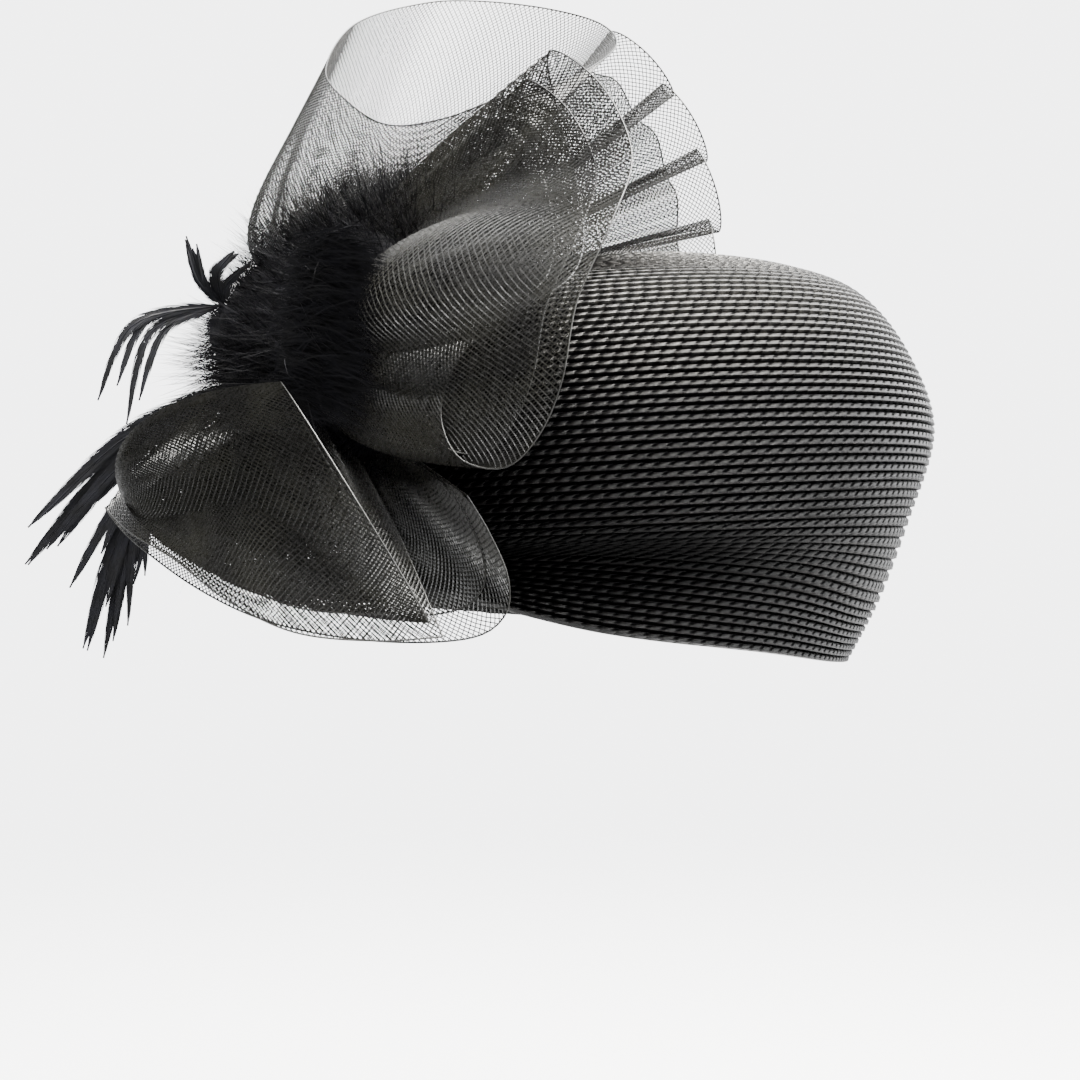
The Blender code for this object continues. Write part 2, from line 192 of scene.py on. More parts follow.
# Hat body: rows of narrow straw braid, each lapped over the one before and sewn from
# the tip of the crown down to the rim. The side brim turns up against the crown.
# The form is the frame's own; the rows, their lap and the plait are added here.
crown_width = 0.190
crown_length = 0.204
hat_depth = 0.129
opening_width = 0.156
opening_length = 0.196
crown_offset = 0.0096
straw_wall = 0.002
side_tilt = math.radians(2.7)
back_tilt = math.radians(0.5)
crown_sections = np.array([
    # reach, down
    (0.000, 0.000),
    (0.330, 0.035),
    (0.580, 0.080),
    (0.770, 0.148),
    (0.917, 0.290),
    (1.000, 0.480),
])
lower_sections = np.array([
    # fold reach, fold down, crease reach, crease down, rim reach, rim down
    (0.910, 0.667, 1.128, 0.853, 1.000, 1.000),
    (0.930, 0.667, 1.087, 0.837, 0.977, 0.992),
    (0.960, 0.674, 1.020, 0.783, 0.967, 0.953),
    (0.985, 0.686, 0.930, 0.752, 0.990, 0.900),
    (0.985, 0.698, 0.957, 0.744, 1.065, 0.810),
    (0.975, 0.705, 1.025, 0.736, 1.330, 0.760),
    (0.960, 0.705, 1.025, 0.736, 1.540, 0.790),
    (0.950, 0.698, 1.025, 0.744, 1.367, 0.845),
    (0.950, 0.690, 0.980, 0.760, 1.130, 0.891),
    (0.950, 0.682, 0.970, 0.783, 1.010, 0.930),
    (0.940, 0.674, 1.030, 0.822, 0.990, 0.969),
    (0.920, 0.667, 1.100, 0.845, 1.000, 0.992),
])
last_ring = len(crown_sections) + 2
braid_rows = 80
split_row = 46
braid_relief = 0.0012
lap_relief = 0.0004
plait_length = 0.0043
hat_columns = 320
row_shares = (0.0, 0.22, 0.74)
tip_row = 0.03
sharp_angle = math.radians(75)


def smooth(rows, place, closed=False):
    """Smooth curve through the rows; place counts rows from 0."""
    rows = np.asarray(rows, dtype=float)
    place = np.asarray(place, dtype=float)
    count = len(rows)
    step = np.floor(place).astype(int)
    if not closed:
        step = np.clip(step, 0, count - 2)
    part = place - step
    near = []
    for offset in (-1, 0, 1, 2):
        index = step + offset
        index = index % count if closed else np.clip(index, 0, count - 1)
        near.append(rows[index])
    before, start, end, after = near
    part = part.reshape(part.shape + (1,) * (start.ndim - part.ndim))
    bend = 2 * before - 5 * start + 4 * end - after
    twist = 3 * start - before - 3 * end + after
    return 0.5 * (2 * start + (end - before) * part + bend * part**2 + twist * part**3)


def hat_surface(direction, ring):
    """Outer form of the hat, a row for each ring and a column for each direction.

    Each section is an ellipse scaled by its reach and dropped by its depth; the rings
    between the sections follow a smooth curve through them.
    """
    direction = np.asarray(direction, dtype=float)
    lower = smooth(lower_sections, direction / (math.tau / len(lower_sections)), closed=True)
    cos = np.cos(direction)
    sin = -np.sin(direction)
    rows = [(reach + 0 * cos, down + 0 * cos) for reach, down in crown_sections]
    rows.append((lower[:, 0], lower[:, 1]))
    points = []
    for reach, down in rows:
        x = crown_offset + reach * crown_width / 2 * cos
        y = reach * crown_length / 2 * sin
        points.append(np.stack([x, y, straw_wall - down * hat_depth], axis=-1))
    radius = 1 / np.sqrt((cos / (opening_width / 2)) ** 2 + (sin / (opening_length / 2)) ** 2)
    for reach, down in ((lower[:, 2], lower[:, 3]), (lower[:, 4], lower[:, 5])):
        x = reach * radius * cos
        y = reach * radius * sin
        points.append(np.stack([x, y, straw_wall - down * hat_depth], axis=-1))
    points = np.array(points)
    crown = points[:len(crown_sections)]
    crown[:, :, 2] += math.tan(side_tilt) * (crown[:, :, 0] - crown_offset)
    crown[:, :, 2] -= math.tan(back_tilt) * crown[:, :, 1]
    return smooth(points, ring)


def hat_normal(direction, ring):
    """Outward normal of the hat's outer form, from small steps along both ways."""
    step = 1e-3
    direction = np.asarray(direction, dtype=float)
    ring = np.asarray(ring, dtype=float)
    around = hat_surface(direction + step, ring) - hat_surface(direction - step, ring)
    down = hat_surface(direction, ring + step) - hat_surface(direction, ring - step)
    normal = np.cross(around, down)
    return normal / np.linalg.norm(normal, axis=-1, keepdims=True)


def row_to_ring(row):
    """Ring of the form at each braid row, with the rows evenly spaced down the hat."""
    ring = np.linspace(0, last_ring, 900)
    direction = np.linspace(0, math.tau, 48, endpoint=False)
    line = hat_surface(direction, ring)
    length = np.linalg.norm(np.diff(line, axis=0), axis=-1).mean(axis=1)
    length = np.concatenate([[0], np.cumsum(length)])
    return np.interp(np.asarray(row) / braid_rows * length[-1], length, ring)


def set_mesh(name, vertices, faces):
    """Mesh from one array of vertices and one of faces, all with as many corners."""
    mesh = bpy.data.meshes.new(name)
    corners = faces.shape[1]
    mesh.vertices.add(len(vertices))
    mesh.vertices.foreach_set("co", np.asarray(vertices, np.float32).ravel())
    mesh.loops.add(faces.size)
    mesh.loops.foreach_set("vertex_index", faces.astype(np.int32).ravel())
    mesh.polygons.add(len(faces))
    mesh.polygons.foreach_set("loop_start", np.arange(0, faces.size, corners, dtype=np.int32))
    mesh.update(calc_edges=True)
    mesh.validate()
    mesh.shade_smooth()
    mesh.set_sharp_from_angle(angle=sharp_angle)
    return mesh


def place_piece(name, mesh, material, nodes):
    """Link a finished mesh, let it ride on the frame and stand for its nodes."""
    mesh.materials.append(material)
    made = bpy.data.objects.new(name, mesh)
    bpy.context.scene.collection.objects.link(made)
    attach(made, "root")
    if nodes:
        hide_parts(*nodes)
    return made


def grid_quads(rows, columns, wrap_rows, wrap_columns):
    """Four-sided faces of a grid, joined round in either way if asked."""
    row = np.arange(rows if wrap_rows else rows - 1)[:, None]
    column = np.arange(columns if wrap_columns else columns - 1)[None, :]
    down = (row + 1) % rows
    beside = (column + 1) % columns
    quads = np.stack([
        row * columns + column,
        row * columns + beside,
        down * columns + beside,
        down * columns + column,
    ], axis=-1)
    return quads.reshape(-1, 4)


def braid_band(name, first_row, last_row):
    """Closed shell of braid between two rows, outer face, edge, inner face and edge.

    A row's face stands out by relief * (sin(pi * t)**0.5 - 1) + lap * (t - 0.5), with t the
    share of the row, so that each row's lower edge laps over the next one.
    """
    shares = np.array(row_shares)
    outer = (np.arange(first_row, last_row)[:, None] + shares[None, :]).ravel()
    outer = np.append(outer, last_row)
    inner = np.arange(last_row, first_row - 1, -1.0)
    row = np.concatenate([outer, inner])
    share = outer - np.floor(outer)
    height = braid_relief * (np.sqrt(np.abs(np.sin(math.pi * share))) - 1)
    height = height + lap_relief * (share - 0.5)
    depth = np.full(len(inner), -straw_wall)
    offset = np.concatenate([height, depth])
    ring = row_to_ring(np.clip(row, tip_row, braid_rows))
    direction = np.arange(hat_columns) * math.tau / hat_columns
    form = hat_surface(direction, ring)
    steps = np.diff(form, axis=1, append=form[:, :1])
    plait = np.round(np.linalg.norm(steps, axis=-1).sum(axis=1) / plait_length)
    points = form + hat_normal(direction, ring) * offset[:, None, None]
    count = len(row)
    faces = grid_quads(count, hat_columns, True, True)
    corners = np.tile(np.arange(hat_columns), count)
    line = np.repeat(np.arange(count), hat_columns)
    cells = np.maximum(plait[line], 6)
    start = corners / hat_columns * cells
    end = (corners + 1) / hat_columns * cells
    top = row[line]
    bottom = row[(line + 1) % count]
    uv = np.stack([
        np.stack([start, top], axis=-1),
        np.stack([end, top], axis=-1),
        np.stack([end, bottom], axis=-1),
        np.stack([start, bottom], axis=-1),
    ], axis=1)
    mesh = set_mesh(name, points.reshape(-1, 3), faces)
    layer = mesh.uv_layers.new(name="plait")
    layer.data.foreach_set("uv", uv.astype(np.float32).ravel())
    return mesh


def node_group(name, inputs, outputs):
    """Empty shader node group with named sockets; returns it with its two ends."""
    group = bpy.data.node_groups.new(name, "ShaderNodeTree")
    for label, kind, value in inputs:
        socket = group.interface.new_socket(name=label, in_out="INPUT", socket_type=kind)
        if value is not None:
            socket.default_value = value
    for label, kind in outputs:
        group.interface.new_socket(name=label, in_out="OUTPUT", socket_type=kind)
    return group, group.nodes.new("NodeGroupInput"), group.nodes.new("NodeGroupOutput")


def plait_group():
    """Plait of one braid row: u counts crossings along the row, v counts rows.

    The strands are |sin(pi * (u - slant * t))| with t the share of the row, which gives
    lozenges that lean forward; a small hole opens where two strands part.
    """
    group, source, result = node_group(
        "plait",
        [("Vector", "NodeSocketVector", None), ("Slant", "NodeSocketFloat", 0.7)],
        [("Height", "NodeSocketFloat"), ("Hole", "NodeSocketFloat"), ("Tone", "NodeSocketFloat")],
    )
    split = group.nodes.new("ShaderNodeSeparateXYZ")
    group.links.new(source.outputs["Vector"], split.inputs[0])
    along = split.outputs["X"]
    across = maths(group, "FRACT", split.outputs["Y"])
    row = maths(group, "FLOOR", split.outputs["Y"])
    chance = group.nodes.new("ShaderNodeTexWhiteNoise")
    chance.noise_dimensions = "1D"
    group.links.new(row, chance.inputs["W"])
    lean = maths(group, "MULTIPLY", across, source.outputs["Slant"])
    shifted = maths(group, "ADD", along, chance.outputs["Value"])
    place = maths(group, "SUBTRACT", shifted, lean)
    strand = maths(group, "ABSOLUTE", maths(group, "SINE", maths(group, "MULTIPLY", place, math.pi)))
    body = maths(group, "POWER", strand, 0.7)
    band = maths(group, "SINE", maths(group, "MULTIPLY", across, math.pi))
    band = maths(group, "POWER", maths(group, "ABSOLUTE", band), 0.6)
    upper = range_map(group, across, 0.08, 0.25)
    lower = range_map(group, across, 0.45, 0.62, 1.0, 0.0)
    window = maths(group, "MULTIPLY", upper, lower)
    thin = range_map(group, strand, 0.30, 0.62, 1.0, 0.0)
    hole = maths(group, "MULTIPLY", window, thin)
    fibre = group.nodes.new("ShaderNodeTexNoise")
    fibre.inputs["Scale"].default_value = 9.0
    fibre.inputs["Detail"].default_value = 2.0
    stretch = group.nodes.new("ShaderNodeCombineXYZ")
    group.links.new(maths(group, "MULTIPLY", place, 0.5), stretch.inputs["X"])
    group.links.new(maths(group, "MULTIPLY", split.outputs["Y"], 2.5), stretch.inputs["Y"])
    group.links.new(stretch.outputs[0], fibre.inputs["Vector"])
    height = maths(group, "MULTIPLY", body, 0.65)
    height = maths(group, "ADD", height, maths(group, "MULTIPLY", band, 0.45))
    height = maths(group, "ADD", height, maths(group, "MULTIPLY", fibre.outputs[0], 0.18))
    height = maths(group, "SUBTRACT", height, maths(group, "MULTIPLY", hole, 0.9))
    group.links.new(height, result.inputs["Height"])
    group.links.new(hole, result.inputs["Hole"])
    group.links.new(fibre.outputs[0], result.inputs["Tone"])
    return group


straw_black = (0.065, 0.064, 0.062, 1.0)
straw_grey = (0.120, 0.116, 0.109, 1.0)
# Painted shade: the braid's lower rows turn to this darker colour between the two rows below, for the
# shade under the crown's overhang.
straw_painted_shade = (0.013, 0.013, 0.013, 1.0)
# Painted shade: the plait's holes are painted near-black, as the shade seen through them.
hole_painted_shade = (0.0008, 0.0008, 0.0010, 1.0)
first_shaded_row = 30.0
last_shaded_row = 52.0


def straw_material():
    """Lacquered black straw: it mirrors a little, as black foil does, and has no colour
    of its own. The holes in the plait are dull and painted near-black, as the shade seen
    through them. The rows from the crown's lower part down into the brim are painted
    darker, as the shade under the crown's overhang, which cuts off the light from above.
    """
    material = bpy.data.materials.new("lacquered_straw_braid")
    material.use_nodes = True
    tree = material.node_tree
    shader = tree.nodes["Principled BSDF"]
    where = tree.nodes.new("ShaderNodeUVMap")
    where.uv_map = "plait"
    plait = tree.nodes.new("ShaderNodeGroup")
    plait.node_tree = plait_group()
    tree.links.new(where.outputs["UV"], plait.inputs["Vector"])
    rows = tree.nodes.new("ShaderNodeSeparateXYZ")
    tree.links.new(where.outputs["UV"], rows.inputs[0])
    # Painted shade: the rows darken from the crown's lower part down into the brim.
    painted_shade = range_map(tree, rows.outputs["Y"], first_shaded_row, last_shaded_row)
    colour = mix_colour(tree, plait.outputs["Tone"], straw_black, straw_grey)
    colour = mix_colour(tree, painted_shade, colour, straw_painted_shade)
    # Painted shade in the plait's holes.
    colour = mix_colour(tree, plait.outputs["Hole"], colour, hole_painted_shade)
    tree.links.new(colour, shader.inputs["Base Color"])
    rough = range_map(tree, plait.outputs["Hole"], 0.0, 1.0, 0.30, 0.9)
    tree.links.new(rough, shader.inputs["Roughness"])
    shader.inputs["Metallic"].default_value = 1.0
    bump = tree.nodes.new("ShaderNodeBump")
    bump.inputs["Strength"].default_value = 1.0
    bump.inputs["Distance"].default_value = 0.0010
    tree.links.new(plait.outputs["Height"], bump.inputs["Height"])
    tree.links.new(bump.outputs["Normal"], shader.inputs["Normal"])
    return material


straw = straw_material()
for name, first_row, last_row in (("crown_braid", 0, split_row), ("brim_braid", split_row, braid_rows)):
    place_piece(name, braid_band(name, first_row, last_row), straw, ["hat_body"])


# Net loops: stiff open net of thin shiny thread, woven on the bias with a corded
# selvedge. Each strip is gathered on a thread at one edge and sewn in among the
# feathers, so that it opens into a bellied loop. Every thread is real here.
trim_standoff = 0.005
trim_forward = 0.18
trim_down = 0.18
loop_reach = 0.100
gather_share = 0.10
gather_radius = 0.005
mesh_pitch = 0.0017
thread_radius = 0.00018
selvedge_radius = 0.00026
thread_step = 0.0048
selvedge_step = 0.0025
shortest_thread = 0.004
seats = {
    # direction, ring of the crown, height over the crown
    "back_loop": (168, 3.6, 0.022),
    "back_fan": (204, 3.0, 0.014),
    "front_loop": (152, 4.1, 0.025),
    "lower_loop": (157, 4.6, 0.020),
    "spray_upper": (164, 4.0, 0.046),
    "spray_lower": (178, 4.5, 0.036),
}
back_loop_edge = np.array([
    # right, back, up, belly
    (0.04, 0.30, 0.82, 0.17),
    (0.13, 0.13, 0.68, 0.11),
    (0.26, 0.02, 0.59, 0.06),
    (0.43, -0.03, 0.60, 0.02),
    (0.60, 0.00, 0.67, 0.02),
    (0.78, 0.12, 0.74, 0.02),
    (0.95, 0.36, 0.90, 0.02),
    (0.92, 0.61, 1.04, 0.02),
    (0.75, 0.76, 1.13, 0.02),
    (0.52, 0.81, 1.17, 0.04),
    (0.32, 0.76, 1.15, 0.06),
    (0.11, 0.56, 1.03, 0.12),
])
front_loop_edge = np.array([
    # right, back, up, belly
    (0.74, -0.28, 0.74, 0.08),
    (0.88, -0.45, 0.61, 0.12),
    (0.96, -0.65, 0.38, 0.12),
    (0.90, -0.80, 0.17, 0.12),
    (0.81, -0.87, -0.04, 0.12),
    (0.77, -0.90, -0.25, 0.12),
    (0.71, -0.87, -0.39, 0.12),
    (0.62, -0.81, -0.47, 0.11),
    (0.50, -0.76, -0.44, 0.10),
    (0.45, -0.69, -0.31, 0.06),
    (0.51, -0.69, -0.16, 0.02),
    (0.65, -0.71, -0.06, 0.01),
    (0.81, -0.63, 0.07, 0.01),
    (0.83, -0.35, 0.29, 0.01),
    (0.77, -0.22, 0.56, 0.02),
])
lower_loop_edge = np.array([
    # right, back, up, belly
    (0.46, -0.80, -0.91, 0.04),
    (0.29, -0.82, -0.92, 0.08),
    (0.07, -0.77, -0.90, 0.11),
    (-0.13, -0.62, -0.82, 0.12),
    (-0.31, -0.42, -0.71, 0.12),
    (-0.49, -0.17, -0.63, 0.12),
    (-0.59, 0.00, -0.56, 0.12),
    (-0.50, -0.03, -0.66, 0.04),
    (-0.26, -0.28, -0.80, 0.01),
    (-0.02, -0.46, -0.89, 0.01),
    (0.27, -0.62, -0.93, 0.01),
    (0.52, -0.70, -0.92, 0.01),
    (0.62, -0.72, -0.86, 0.01),
    (0.63, -0.72, -0.76, 0.01),
    (0.58, -0.70, -0.64, 0.01),
    (0.52, -0.69, -0.54, 0.01),
])


def seat(name):
    """Point where a piece of trim is gathered, over the crown's surface."""
    turn, ring, height = seats[name]
    direction = np.array([math.radians(turn)])
    point = hat_surface(direction, np.array([ring]))
    return (point + height * hat_normal(direction, np.array([ring])))[0, 0]


def trim_centre():
    """Middle of the trim, beside the crown."""
    return np.array([
        crown_offset - crown_width / 2 - trim_standoff,
        -trim_forward * crown_length,
        -trim_down * hat_depth,
    ])


def loop_shape(name, table, closed, skew, columns, folds, fold_depth, scale=1.0, fullness=1.0):
    """Surface of a gathered loop as a function of v along its free edge and share s.

    Along a line from the gather to the edge the share s runs from 0 to 1, and the point is
    seat + edge * (gather + (1 - gather) * s)
    + outward * (radius * (1 - s) + belly * sin(pi * s**skew) + ripple), where the ripple
    fold_depth * sin(2 * pi * folds * v / length) dies out towards the free edge. An inner
    turn of the same strip has its edge scaled and its belly less full.
    """
    centre = seat(name)
    edge = trim_centre() + table[:, :3] * loop_reach - centre
    last = len(edge) if closed else len(edge) - 1
    coarse = smooth(edge, np.linspace(0, last, columns, endpoint=not closed), closed)
    middle = coarse.mean(axis=0)
    fine_place = np.linspace(0, last, 2001)
    fine = smooth(edge, fine_place, closed)
    fine_length = np.concatenate([[0], np.cumsum(np.linalg.norm(np.diff(fine, axis=0), axis=1))])

    def surface(v, share):
        place = np.interp(v % fine_length[-1] if closed else v, fine_length, fine_place)
        free = smooth(edge, place, closed)
        belly = smooth(table[:, 3] * loop_reach, place, closed) * fullness
        ray = free / np.linalg.norm(free, axis=-1, keepdims=True)
        side = free - middle
        side = side - (side * ray).sum(axis=-1, keepdims=True) * ray
        side = side / np.linalg.norm(side, axis=-1, keepdims=True)
        along = gather_share + (1 - gather_share) * share
        bow = np.sin(math.pi * share ** skew) * belly + gather_radius * (1 - share)
        ripple = fold_depth * np.sin(math.tau * folds * v / fine_length[-1])
        bow = bow + ripple * np.sin(math.pi * np.clip(share, 0, 1) ** 0.6) * (1 - share)
        return centre + free * scale * along[..., None] + side * bow[..., None]

    return surface, fine_length[-1], float(np.linalg.norm(fine, axis=1).mean()) * (1 - gather_share)


def tubes(lines, radius, sides=3):
    """Thin tubes round many lines at once; lines is an array of line, station, xyz."""
    way = np.gradient(lines, axis=1)
    way = way / np.maximum(np.linalg.norm(way, axis=-1, keepdims=True), 1e-12)
    across = np.cross(way, np.array([0.31, 0.87, 0.39]))
    across = across / np.maximum(np.linalg.norm(across, axis=-1, keepdims=True), 1e-12)
    deep = np.cross(way, across)
    turn = np.arange(sides) * math.tau / sides
    ring = across[:, :, None] * np.cos(turn)[None, None, :, None]
    ring = ring + deep[:, :, None] * np.sin(turn)[None, None, :, None]
    points = lines[:, :, None] + ring * radius
    count, stations = lines.shape[:2]
    quads = grid_quads(stations, sides, False, True)
    faces = (np.arange(count)[:, None, None] * stations * sides + quads[None]).reshape(-1, 4)
    return points.reshape(-1, 3), faces


def join_parts(parts):
    """Vertices and faces of several parts as one pair of arrays."""
    vertices, faces, start = [], [], 0
    for points, quads in parts:
        vertices.append(points)
        faces.append(quads + start)
        start += len(points)
    return np.concatenate(vertices), np.concatenate(faces)


def net_lines(surface, length, width, closed):
    """Threads of a bias net: v = k * pitch + w and v = k * pitch - w over the flat strip."""
    stations = int(round(width * math.sqrt(2) / thread_step)) + 1
    lines = []
    for slope in (1, -1):
        if closed:
            count = int(round(length / mesh_pitch))
            start = np.arange(count) * length / count
            w = np.broadcast_to(np.linspace(0, width, stations), (count, stations))
        else:
            count = int((length + width) / mesh_pitch)
            start = (np.arange(count) + 0.5) * mesh_pitch - (width if slope > 0 else 0)
            first = np.clip(-start * slope if slope > 0 else (start - length), 0, width)
            final = np.clip((length - start) if slope > 0 else start, 0, width)
            keep = final - first > shortest_thread
            start, first, final = start[keep], first[keep], final[keep]
            w = first[:, None] + (final - first)[:, None] * np.linspace(0, 1, stations)
        v = start[:, None] + slope * w
        if not closed:
            v = np.clip(v, 0, length)
        lines.append(surface(v, w / width))
    return lines


def net_strip(surface, length, width, closed):
    """Threads and corded selvedges of one strip of net, as vertices and faces."""
    parts = [tubes(line, thread_radius) for line in net_lines(surface, length, width, closed)]
    v = np.linspace(0, length, int(length / selvedge_step))
    selvedge = surface(v, np.ones_like(v))[None]
    parts.append(tubes(selvedge, selvedge_radius, 5))
    if not closed:
        share = np.linspace(0, 1, 40)
        for end in (0, length):
            parts.append(tubes(surface(np.full_like(share, end), share)[None], selvedge_radius, 5))
    return join_parts(parts)


net_black = (0.0070, 0.0068, 0.0062, 1.0)
net_olive = (0.0120, 0.0117, 0.0095, 1.0)


def net_material():
    """Shiny nylon thread, black with an olive cast where the light passes through."""
    material = bpy.data.materials.new("nylon_net_thread")
    material.use_nodes = True
    tree = material.node_tree
    shader = tree.nodes["Principled BSDF"]
    where = tree.nodes.new("ShaderNodeTexCoord")
    cloud = tree.nodes.new("ShaderNodeTexNoise")
    cloud.inputs["Scale"].default_value = 60.0
    cloud.inputs["Detail"].default_value = 3.0
    tree.links.new(where.outputs["Object"], cloud.inputs["Vector"])
    glint = tree.nodes.new("ShaderNodeTexNoise")
    glint.inputs["Scale"].default_value = 900.0
    tree.links.new(where.outputs["Object"], glint.inputs["Vector"])
    cast = range_map(tree, cloud.outputs[0], 0.35, 0.65)
    colour = mix_colour(tree, cast, net_black, net_olive)
    tree.links.new(colour, shader.inputs["Base Color"])
    rough = range_map(tree, glint.outputs[0], 0.35, 0.65, 0.22, 0.42)
    tree.links.new(rough, shader.inputs["Roughness"])
    bump = tree.nodes.new("ShaderNodeBump")
    bump.inputs["Strength"].default_value = 0.3
    bump.inputs["Distance"].default_value = 0.0001
    tree.links.new(glint.outputs[0], bump.inputs["Height"])
    tree.links.new(bump.outputs["Normal"], shader.inputs["Normal"])
    return material


def place_net(name, node, shape, closed):
    """Make one strip of net from its surface, length and width."""
    surface, length, width = shape
    mesh = set_mesh(name, *net_strip(surface, length, width, closed))
    piece = place_piece(name, mesh, net, [node])


net = net_material()
loops = [
    # node, free edge, closed, skew, columns, folds, fold depth
    ("back_loop", back_loop_edge, True, 0.5, 44, 16, 0.0012),
    ("front_loop", front_loop_edge, True, 0.9, 52, 18, 0.0014),
    ("lower_loop", lower_loop_edge, False, 0.8, 49, 18, 0.0014),
]
turns = {
    # node: edge and fullness of the strip's inner turn
    "front_loop": (0.90, 0.35),
    "lower_loop": (0.90, 0.30),
}
for node, table, closed, skew, columns, folds, fold_depth in loops:
    shape = loop_shape(node, table, closed, skew, columns, folds, fold_depth)
    place_net(f"{node}_net", node, shape, closed)
    if node in turns:
        shape = loop_shape(node, table, closed, skew, columns, folds + 3, fold_depth, *turns[node])
        place_net(f"{node}_inner_net", node, shape, closed)


# Lower loop's front: the same strip is rolled over at its outer end into a bulb, and
# comes back across the front of the loop to a slanting selvedge.
wrap_pole = np.array([-0.1410, -0.0480, -0.0780])
wrap_top = np.array([-0.0900, -0.0900, -0.0460])
wrap_bottom = np.array([-0.0480, -0.1160, -0.1105])
wrap_depth = np.array([0.0, -0.013, 0.003])
wrap_folds = 15
wrap_fold_depth = 0.0011


def wrap_surface(v, share):
    """Rolled net: middle * (1 - cos(a)) + (edge - middle) * sin(a), with a = share * pi / 2.

    Both are measured from the pole, and the edge is an ellipse. Gathers of wrap_fold_depth
    run from the pole and die out towards the edge.
    """
    turn = math.tau * v / wrap_length
    middle = (wrap_top + wrap_bottom) / 2
    radius = (wrap_top - wrap_bottom) / 2
    angle = share * math.pi / 2
    out = radius * np.cos(turn)[..., None] + wrap_depth * np.sin(turn)[..., None]
    ripple = wrap_fold_depth * np.sin(wrap_folds * turn) * (1 - share) * np.sin(angle) ** 0.5
    grow = np.sin(angle) + ripple / np.linalg.norm(out, axis=-1)
    return wrap_pole + (middle - wrap_pole) * (1 - np.cos(angle))[..., None] + out * grow[..., None]


wrap_length = 1.0
wrap_edge = wrap_surface(np.linspace(0, 1, 800), np.ones(800))
wrap_length = float(np.linalg.norm(np.diff(wrap_edge, axis=0), axis=1).sum())
wrap_width = float(np.linalg.norm(wrap_edge - wrap_pole, axis=1).mean())
roll = (wrap_surface, wrap_length, wrap_width)
place_net("lower_loop_roll_net", "lower_loop", roll, True)


# Back fan: a strip of the same net laid in knife pleats, gathered at the pad and
# opened behind the crown. Its folds are pressed, so each shows as a dark line.
fan_reach = 0.122
fan_pleats = 4
fan_lean = 0.23
fan_fold = 0.08
fan_shortening = 0.14
fan_top_angle = math.radians(53)
fan_bottom_angle = math.radians(4)
fan_lap = math.radians(3.9)


def fan_shape(scale, lap):
    """Surface of a pleated fan as a function of v along its edge and share s.

    Rays from the gather lean back by lean * s and fold to and fro by
    fold * s**2 * cos(2 * pi * pleats * u), with u the share along the fan. Each ray also
    swings by lap * sin(2 * pi * pleats * u), so that each pleat laps the next.
    """
    def points(u, share):
        s = gather_share + (1 - gather_share) * share
        wave = math.tau * fan_pleats * u
        angle = fan_top_angle + (fan_bottom_angle - fan_top_angle) * u
        angle = angle + lap * np.sin(wave)
        reach = fan_reach * scale * (1 - fan_shortening * u ** 2) * s
        back = fan_reach * scale * (fan_lean * s + fan_fold * s ** 2 * np.cos(wave))
        way = [reach * np.cos(angle), back, reach * np.sin(angle)]
        return seat("back_fan") + np.stack(way, axis=-1)

    edge = points(np.linspace(0, 1, 800), np.ones(800))
    length = float(np.linalg.norm(np.diff(edge, axis=0), axis=1).sum())
    width = fan_reach * scale * (1 - gather_share)
    return lambda v, share: points(v / length, share), length, width


for name, scale, lap in (("back_fan_net", 1.0, fan_lap), ("back_fan_inner_net", 0.88, 0.0)):
    place_net(name, "back_fan", fan_shape(scale, lap), False)


# Feather pad: short black hackles sewn close together on a mound at the side of the
# crown. The mound is the frame's own; its feathers are strips combed outward.
pad_thickness = 0.044
pad_edge = 0.003
pad_start = math.radians(130)
pad_end = math.radians(222)
pad_top_ring = 2.0
pad_bottom_ring = 5.1
pad_bulge = 0.009
bulge_direction = math.radians(184)
bulge_ring = 4.2
bulge_turn = 0.42
bulge_rings = 0.75
pad_lift = 0.93
pad_gap = 0.0004
pad_strands = 22000
pad_seed = 11


def feather_material(name, base, sheen):
    """Soft black feather: nearly no gloss, with faint paler, cooler patches scattered at random."""
    material = bpy.data.materials.new(name)
    material.use_nodes = True
    tree = material.node_tree
    shader = tree.nodes["Principled BSDF"]
    where = tree.nodes.new("ShaderNodeTexCoord")
    cloud = tree.nodes.new("ShaderNodeTexNoise")
    cloud.inputs["Scale"].default_value = 220.0
    cloud.inputs["Detail"].default_value = 4.0
    tree.links.new(where.outputs["Object"], cloud.inputs["Vector"])
    pale = (base[0] * 3, base[1] * 3, base[2] * 3.4, 1.0)
    colour = mix_colour(tree, range_map(tree, cloud.outputs[0], 0.3, 0.7), base, pale)
    tree.links.new(colour, shader.inputs["Base Color"])
    rough = range_map(tree, cloud.outputs[0], 0.3, 0.7, 0.55, 0.8)
    tree.links.new(rough, shader.inputs["Roughness"])
    shader.inputs["Specular IOR Level"].default_value = sheen
    return material


def ribbons(lines, width, flat):
    """Thin flat strips along many lines at once, full width in the middle and fine at the tip.

    flat is each line's sideways way; the half width is width / 2 * (1 - s**2) with s the
    share along the line.
    """
    count, stations = lines.shape[:2]
    share = np.linspace(0, 1, stations)
    half = (width / 2)[:, None] * (1.02 - share[None, :] ** 2)
    side = flat[:, None, :] * half[..., None]
    points = np.stack([lines - side, lines + side], axis=2)
    quads = grid_quads(stations, 2, False, False)
    faces = (np.arange(count)[:, None, None] * stations * 2 + quads[None]).reshape(-1, 4)
    return points.reshape(-1, 3), faces


def pad_height(direction, ring):
    """Height of the mound over the crown: its thickness * sqrt(sin * sin) of the two shares."""
    across = np.sin(math.pi * (direction - pad_start) / (pad_end - pad_start))
    along = np.sin(math.pi * (ring - pad_top_ring) / (pad_bottom_ring - pad_top_ring))
    return pad_edge + (pad_thickness - pad_edge) * np.sqrt(np.clip(across * along, 0, 1))


